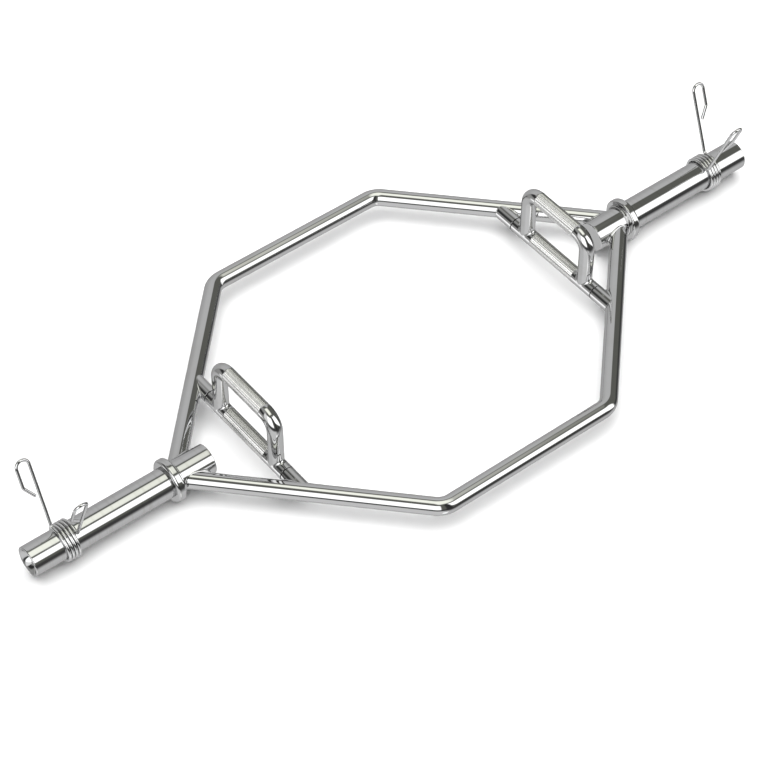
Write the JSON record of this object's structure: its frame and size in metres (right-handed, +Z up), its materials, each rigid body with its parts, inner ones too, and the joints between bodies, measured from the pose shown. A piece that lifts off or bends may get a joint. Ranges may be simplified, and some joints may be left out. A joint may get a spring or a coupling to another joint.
{
  "type": "hex trap bar",
  "caption": "Chromed hexagonal bar to stand inside and lift, with plate sleeves, raised and low hand grips, and squeeze-to-release wire spring clips.",
  "frame": {"origin": "on the floor under the middle of the hexagon, with the bar lying level on its stop collars", "axes": "+X along the sleeves, +Y across the hexagon to the rear tube, +Z up towards the raised grips"},
  "size_m": [1.415, 0.6176, 0.1812],
  "materials": {
    "frame_chrome": "bright mirror chrome plate on bent steel tube",
    "sleeve_chrome": "bright mirror chrome plate on turned steel",
    "grip_chrome": "bright chrome plate, with fine diamond knurling on the hand grips",
    "spigot_steel": "plain machined steel",
    "clip_wire": "bright chrome plate on spring wire"
  },
  "bodies": {
    "bar": {"front_frame_tube": "frame_chrome", "rear_frame_tube": "frame_chrome", "left_sleeve": "sleeve_chrome", "left_stop_collar": "sleeve_chrome", "left_inner_end_cap": "sleeve_chrome", "right_sleeve": "sleeve_chrome", "right_stop_collar": "sleeve_chrome", "right_inner_end_cap": "sleeve_chrome", "left_low_grip": "grip_chrome", "left_raised_grip": "grip_chrome", "right_low_grip": "grip_chrome", "right_raised_grip": "grip_chrome", "left_front_handle_stub": "grip_chrome", "left_rear_handle_stub": "grip_chrome", "right_front_handle_stub": "grip_chrome", "right_rear_handle_stub": "grip_chrome", "left_front_handle_spigot": "spigot_steel", "left_rear_handle_spigot": "spigot_steel", "right_front_handle_spigot": "spigot_steel", "right_rear_handle_spigot": "spigot_steel"},
    "left_clip": {"left_clip_coil": "clip_wire"},
    "left_clip_outer_arm_body": {"left_clip_outer_arm": "clip_wire"},
    "left_clip_inner_arm_body": {"left_clip_inner_arm": "clip_wire"},
    "right_clip": {"right_clip_coil": "clip_wire"},
    "right_clip_outer_arm_body": {"right_clip_outer_arm": "clip_wire"},
    "right_clip_inner_arm_body": {"right_clip_inner_arm": "clip_wire"}
  },
  "joints": [
    {"name": "left_clip_slide", "type": "slide", "parent": "bar", "child": "left_clip", "axis": [-1, 0, 0], "range_m": [-0.162, 0.09]},
    {"name": "left_clip_outer_squeeze", "type": "hinge", "parent": "left_clip", "child": "left_clip_outer_arm_body", "pos_m": [-0.6415, 0, 0.036], "axis": [1, 0, 0], "range_deg": [0, 14], "stiffness_Nm_per_rad": 20, "deforming": ["left_clip_coil"]},
    {"name": "left_clip_inner_squeeze", "type": "hinge", "parent": "left_clip", "child": "left_clip_inner_arm_body", "pos_m": [-0.6415, 0, 0.036], "axis": [1, 0, 0], "range_deg": [-14, 0], "stiffness_Nm_per_rad": 20},
    {"name": "right_clip_slide", "type": "slide", "parent": "bar", "child": "right_clip", "axis": [1, 0, 0], "range_m": [-0.1565, 0.0955]},
    {"name": "right_clip_outer_squeeze", "type": "hinge", "parent": "right_clip", "child": "right_clip_outer_arm_body", "pos_m": [0.6355, 0, 0.036], "axis": [1, 0, 0], "range_deg": [0, 14], "stiffness_Nm_per_rad": 20, "deforming": ["right_clip_coil"]},
    {"name": "right_clip_inner_squeeze", "type": "hinge", "parent": "right_clip", "child": "right_clip_inner_arm_body", "pos_m": [0.6355, 0, 0.036], "axis": [1, 0, 0], "range_deg": [-14, 0], "stiffness_Nm_per_rad": 20}
  ],
  "couplings": [
    {"joint": "left_clip_inner_squeeze", "follows": "left_clip_outer_squeeze", "ratio": -1},
    {"joint": "right_clip_inner_squeeze", "follows": "right_clip_outer_squeeze", "ratio": -1}
  ]
}
